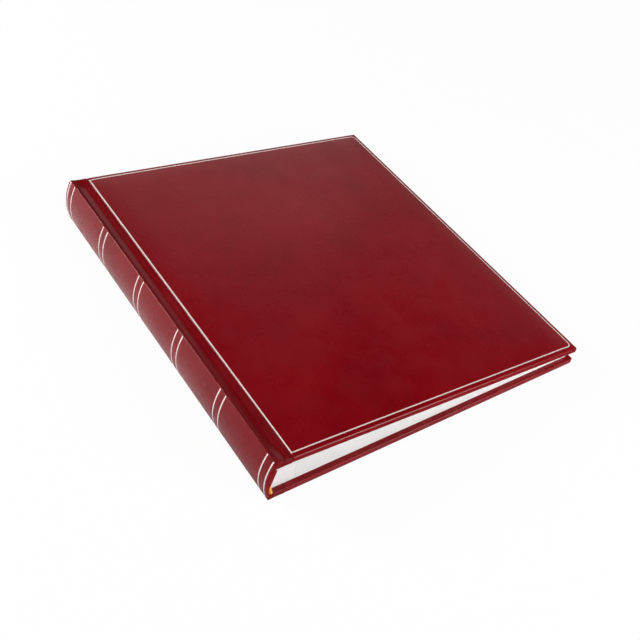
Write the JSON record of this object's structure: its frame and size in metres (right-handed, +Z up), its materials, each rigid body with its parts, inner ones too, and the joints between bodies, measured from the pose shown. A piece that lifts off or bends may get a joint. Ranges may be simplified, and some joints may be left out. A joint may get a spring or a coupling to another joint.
{
  "type": "stamp album",
  "caption": "Padded book-bound album lying closed: grooved hinge joints, rounded spine with foil lines, foil-framed cover, card leaves with translucent interleaves.",
  "frame": {"origin": "centre of the footprint, on the surface that the closed album lies on", "axes": "+X from the spine to the fore-edge, +Y from the tail to the head, +Z up through the front cover"},
  "size_m": [0.2924, 0.31, 0.0392],
  "materials": {
    "burgundy_leatherette": "satin",
    "binders_board": "matte",
    "padding_foam": "matte",
    "lining_paper": "matte",
    "joint_cloth": "matte",
    "kraft_paper": "matte",
    "silver_foil": "satin",
    "album_card": "matte",
    "glassine": "satin",
    "gold_band": "satin"
  },
  "bodies": {
    "back_cover": {"back_board": "binders_board", "back_padding": "padding_foam", "back_cover_skin": "burgundy_leatherette", "back_pastedown": "lining_paper"},
    "text_block": {"spine_skin": "burgundy_leatherette", "spine_card": "binders_board", "spine_hollow": "kraft_paper", "spine_foil_lines": "silver_foil", "spine_guards": "album_card", "headband": "gold_band", "tailband": "gold_band", "back_joint_skin": "burgundy_leatherette", "front_joint_skin": "burgundy_leatherette", "back_inner_joint": "joint_cloth", "front_inner_joint": "joint_cloth"},
    "front_cover": {"front_board": "binders_board", "front_padding": "padding_foam", "front_cover_skin": "burgundy_leatherette", "front_pastedown": "lining_paper", "front_foil_frame": "silver_foil"},
    "back_flyleaf": {"back_flyleaf": "lining_paper"},
    "front_flyleaf": {"front_flyleaf": "lining_paper"},
    "leaf_01": {"leaf_01": "album_card"},
    "leaf_02": {"leaf_02": "album_card"},
    "leaf_03": {"leaf_03": "album_card"},
    "leaf_04": {"leaf_04": "album_card"},
    "leaf_05": {"leaf_05": "album_card"},
    "leaf_06": {"leaf_06": "album_card"},
    "leaf_07": {"leaf_07": "album_card"},
    "leaf_08": {"leaf_08": "album_card"},
    "leaf_09": {"leaf_09": "album_card"},
    "leaf_10": {"leaf_10": "album_card"},
    "leaf_11": {"leaf_11": "album_card"},
    "leaf_12": {"leaf_12": "album_card"},
    "leaf_13": {"leaf_13": "album_card"},
    "leaf_14": {"leaf_14": "album_card"},
    "leaf_15": {"leaf_15": "album_card"},
    "leaf_16": {"leaf_16": "album_card"},
    "interleaf_01": {"interleaf_01": "glassine"},
    "interleaf_02": {"interleaf_02": "glassine"},
    "interleaf_03": {"interleaf_03": "glassine"},
    "interleaf_04": {"interleaf_04": "glassine"},
    "interleaf_05": {"interleaf_05": "glassine"},
    "interleaf_06": {"interleaf_06": "glassine"},
    "interleaf_07": {"interleaf_07": "glassine"},
    "interleaf_08": {"interleaf_08": "glassine"},
    "interleaf_09": {"interleaf_09": "glassine"},
    "interleaf_10": {"interleaf_10": "glassine"},
    "interleaf_11": {"interleaf_11": "glassine"},
    "interleaf_12": {"interleaf_12": "glassine"},
    "interleaf_13": {"interleaf_13": "glassine"},
    "interleaf_14": {"interleaf_14": "glassine"},
    "interleaf_15": {"interleaf_15": "glassine"},
    "interleaf_16": {"interleaf_16": "glassine"}
  },
  "joints": [
    {"name": "back_cover_hinge", "type": "hinge", "parent": "back_cover", "child": "text_block", "pos_m": [-0.13555, 0, -0.0003], "axis": [0, -1, 0], "range_deg": [0, 180], "deforming": ["back_joint_skin", "back_inner_joint"]},
    {"name": "front_cover_hinge", "type": "hinge", "parent": "text_block", "child": "front_cover", "pos_m": [-0.13555, 0, 0.0392], "axis": [0, -1, 0], "range_deg": [0, 184], "deforming": ["front_joint_skin", "front_inner_joint"]},
    {"name": "leaf_01_turn", "type": "hinge", "parent": "text_block", "child": "leaf_01", "pos_m": [-0.1258, 0, 0.0384], "axis": [0, -1, 0], "range_deg": [0, 0.286]},
    {"name": "leaf_02_turn", "type": "hinge", "parent": "text_block", "child": "leaf_02", "pos_m": [-0.1258, 0, 0.0384], "axis": [0, -1, 0], "range_deg": [0, 0.838]},
    {"name": "leaf_03_turn", "type": "hinge", "parent": "text_block", "child": "leaf_03", "pos_m": [-0.1258, 0, 0.0384], "axis": [0, -1, 0], "range_deg": [0, 1.39]},
    {"name": "leaf_04_turn", "type": "hinge", "parent": "text_block", "child": "leaf_04", "pos_m": [-0.1258, 0, 0.0384], "axis": [0, -1, 0], "range_deg": [0, 1.94]},
    {"name": "leaf_05_turn", "type": "hinge", "parent": "text_block", "child": "leaf_05", "pos_m": [-0.1258, 0, 0.0384], "axis": [0, -1, 0], "range_deg": [0, 2.49]},
    {"name": "leaf_06_turn", "type": "hinge", "parent": "text_block", "child": "leaf_06", "pos_m": [-0.1258, 0, 0.0384], "axis": [0, -1, 0], "range_deg": [0, 3.05]},
    {"name": "leaf_07_turn", "type": "hinge", "parent": "text_block", "child": "leaf_07", "pos_m": [-0.1258, 0, 0.0384], "axis": [0, -1, 0], "range_deg": [0, 3.6]},
    {"name": "leaf_08_turn", "type": "hinge", "parent": "text_block", "child": "leaf_08", "pos_m": [-0.1258, 0, 0.0384], "axis": [0, -1, 0], "range_deg": [0, 4.15]},
    {"name": "leaf_09_turn", "type": "hinge", "parent": "text_block", "child": "leaf_09", "pos_m": [-0.1258, 0, 0.0384], "axis": [0, -1, 0], "range_deg": [0, 176.28]},
    {"name": "leaf_10_turn", "type": "hinge", "parent": "text_block", "child": "leaf_10", "pos_m": [-0.1258, 0, 0.0384], "axis": [0, -1, 0], "range_deg": [0, 176.65]},
    {"name": "leaf_11_turn", "type": "hinge", "parent": "text_block", "child": "leaf_11", "pos_m": [-0.1258, 0, 0.0384], "axis": [0, -1, 0], "range_deg": [0, 177.02]},
    {"name": "leaf_12_turn", "type": "hinge", "parent": "text_block", "child": "leaf_12", "pos_m": [-0.1258, 0, 0.0384], "axis": [0, -1, 0], "range_deg": [0, 177.39]},
    {"name": "leaf_13_turn", "type": "hinge", "parent": "text_block", "child": "leaf_13", "pos_m": [-0.1258, 0, 0.0384], "axis": [0, -1, 0], "range_deg": [0, 177.75]},
    {"name": "leaf_14_turn", "type": "hinge", "parent": "text_block", "child": "leaf_14", "pos_m": [-0.1258, 0, 0.0384], "axis": [0, -1, 0], "range_deg": [0, 178.12]},
    {"name": "leaf_15_turn", "type": "hinge", "parent": "text_block", "child": "leaf_15", "pos_m": [-0.1258, 0, 0.0384], "axis": [0, -1, 0], "range_deg": [0, 178.49]},
    {"name": "leaf_16_turn", "type": "hinge", "parent": "text_block", "child": "leaf_16", "pos_m": [-0.1258, 0, 0.0384], "axis": [0, -1, 0], "range_deg": [0, 178.86]},
    {"name": "interleaf_01_turn", "type": "hinge", "parent": "text_block", "child": "interleaf_01", "pos_m": [-0.1258, 0, 0.0384], "axis": [0, -1, 0], "range_deg": [0, 0.562]},
    {"name": "interleaf_02_turn", "type": "hinge", "parent": "text_block", "child": "interleaf_02", "pos_m": [-0.1258, 0, 0.0384], "axis": [0, -1, 0], "range_deg": [0, 1.11]},
    {"name": "interleaf_03_turn", "type": "hinge", "parent": "text_block", "child": "interleaf_03", "pos_m": [-0.1258, 0, 0.0384], "axis": [0, -1, 0], "range_deg": [0, 1.67]},
    {"name": "interleaf_04_turn", "type": "hinge", "parent": "text_block", "child": "interleaf_04", "pos_m": [-0.1258, 0, 0.0384], "axis": [0, -1, 0], "range_deg": [0, 2.22]},
    {"name": "interleaf_05_turn", "type": "hinge", "parent": "text_block", "child": "interleaf_05", "pos_m": [-0.1258, 0, 0.0384], "axis": [0, -1, 0], "range_deg": [0, 2.77]},
    {"name": "interleaf_06_turn", "type": "hinge", "parent": "text_block", "child": "interleaf_06", "pos_m": [-0.1258, 0, 0.0384], "axis": [0, -1, 0], "range_deg": [0, 3.32]},
    {"name": "interleaf_07_turn", "type": "hinge", "parent": "text_block", "child": "interleaf_07", "pos_m": [-0.1258, 0, 0.0384], "axis": [0, -1, 0], "range_deg": [0, 3.87]},
    {"name": "interleaf_08_turn", "type": "hinge", "parent": "text_block", "child": "interleaf_08", "pos_m": [-0.1258, 0, 0.0384], "axis": [0, -1, 0], "range_deg": [0, 176.1]},
    {"name": "interleaf_09_turn", "type": "hinge", "parent": "text_block", "child": "interleaf_09", "pos_m": [-0.1258, 0, 0.0384], "axis": [0, -1, 0], "range_deg": [0, 176.47]},
    {"name": "interleaf_10_turn", "type": "hinge", "parent": "text_block", "child": "interleaf_10", "pos_m": [-0.1258, 0, 0.0384], "axis": [0, -1, 0], "range_deg": [0, 176.83]},
    {"name": "interleaf_11_turn", "type": "hinge", "parent": "text_block", "child": "interleaf_11", "pos_m": [-0.1258, 0, 0.0384], "axis": [0, -1, 0], "range_deg": [0, 177.2]},
    {"name": "interleaf_12_turn", "type": "hinge", "parent": "text_block", "child": "interleaf_12", "pos_m": [-0.1258, 0, 0.0384], "axis": [0, -1, 0], "range_deg": [0, 177.57]},
    {"name": "interleaf_13_turn", "type": "hinge", "parent": "text_block", "child": "interleaf_13", "pos_m": [-0.1258, 0, 0.0384], "axis": [0, -1, 0], "range_deg": [0, 177.94]},
    {"name": "interleaf_14_turn", "type": "hinge", "parent": "text_block", "child": "interleaf_14", "pos_m": [-0.1258, 0, 0.0384], "axis": [0, -1, 0], "range_deg": [0, 178.31]},
    {"name": "interleaf_15_turn", "type": "hinge", "parent": "text_block", "child": "interleaf_15", "pos_m": [-0.1258, 0, 0.0384], "axis": [0, -1, 0], "range_deg": [0, 178.67]},
    {"name": "interleaf_16_turn", "type": "hinge", "parent": "text_block", "child": "interleaf_16", "pos_m": [-0.1258, 0, 0.0384], "axis": [0, -1, 0], "range_deg": [0, 179.04]},
    {"name": "front_flyleaf_turn", "type": "hinge", "parent": "text_block", "child": "front_flyleaf", "pos_m": [-0.1258, 0, 0.0384], "axis": [0, -1, 0], "range_deg": [0, 179.23]},
    {"name": "back_flyleaf_turn", "type": "hinge", "parent": "text_block", "child": "back_flyleaf", "pos_m": [-0.1258, 0, -0.0003], "axis": [0, -1, 0], "range_deg": [-175, 0]}
  ],
  "couplings": [
    {"joint": "leaf_01_turn", "follows": "front_cover_hinge", "ratio": 0.0015},
    {"joint": "leaf_02_turn", "follows": "front_cover_hinge", "ratio": 0.0045},
    {"joint": "leaf_03_turn", "follows": "front_cover_hinge", "ratio": 0.0075},
    {"joint": "leaf_04_turn", "follows": "front_cover_hinge", "ratio": 0.0105},
    {"joint": "leaf_05_turn", "follows": "front_cover_hinge", "ratio": 0.0135},
    {"joint": "leaf_06_turn", "follows": "front_cover_hinge", "ratio": 0.0165},
    {"joint": "leaf_07_turn", "follows": "front_cover_hinge", "ratio": 0.0195},
    {"joint": "leaf_08_turn", "follows": "front_cover_hinge", "ratio": 0.0225},
    {"joint": "leaf_09_turn", "follows": "front_cover_hinge", "ratio": 0.958},
    {"joint": "leaf_10_turn", "follows": "front_cover_hinge", "ratio": 0.96},
    {"joint": "leaf_11_turn", "follows": "front_cover_hinge", "ratio": 0.962},
    {"joint": "leaf_12_turn", "follows": "front_cover_hinge", "ratio": 0.964},
    {"joint": "leaf_13_turn", "follows": "front_cover_hinge", "ratio": 0.966},
    {"joint": "leaf_14_turn", "follows": "front_cover_hinge", "ratio": 0.968},
    {"joint": "leaf_15_turn", "follows": "front_cover_hinge", "ratio": 0.97},
    {"joint": "leaf_16_turn", "follows": "front_cover_hinge", "ratio": 0.972},
    {"joint": "interleaf_01_turn", "follows": "front_cover_hinge", "ratio": 0.003},
    {"joint": "interleaf_02_turn", "follows": "front_cover_hinge", "ratio": 0.006},
    {"joint": "interleaf_03_turn", "follows": "front_cover_hinge", "ratio": 0.009},
    {"joint": "interleaf_04_turn", "follows": "front_cover_hinge", "ratio": 0.012},
    {"joint": "interleaf_05_turn", "follows": "front_cover_hinge", "ratio": 0.015},
    {"joint": "interleaf_06_turn", "follows": "front_cover_hinge", "ratio": 0.018},
    {"joint": "interleaf_07_turn", "follows": "front_cover_hinge", "ratio": 0.021},
    {"joint": "interleaf_08_turn", "follows": "front_cover_hinge", "ratio": 0.957},
    {"joint": "interleaf_09_turn", "follows": "front_cover_hinge", "ratio": 0.959},
    {"joint": "interleaf_10_turn", "follows": "front_cover_hinge", "ratio": 0.961},
    {"joint": "interleaf_11_turn", "follows": "front_cover_hinge", "ratio": 0.963},
    {"joint": "interleaf_12_turn", "follows": "front_cover_hinge", "ratio": 0.965},
    {"joint": "interleaf_13_turn", "follows": "front_cover_hinge", "ratio": 0.967},
    {"joint": "interleaf_14_turn", "follows": "front_cover_hinge", "ratio": 0.969},
    {"joint": "interleaf_15_turn", "follows": "front_cover_hinge", "ratio": 0.971},
    {"joint": "interleaf_16_turn", "follows": "front_cover_hinge", "ratio": 0.973},
    {"joint": "front_flyleaf_turn", "follows": "front_cover_hinge", "ratio": 0.974},
    {"joint": "back_flyleaf_turn", "follows": "back_cover_hinge", "ratio": -0.97}
  ]
}
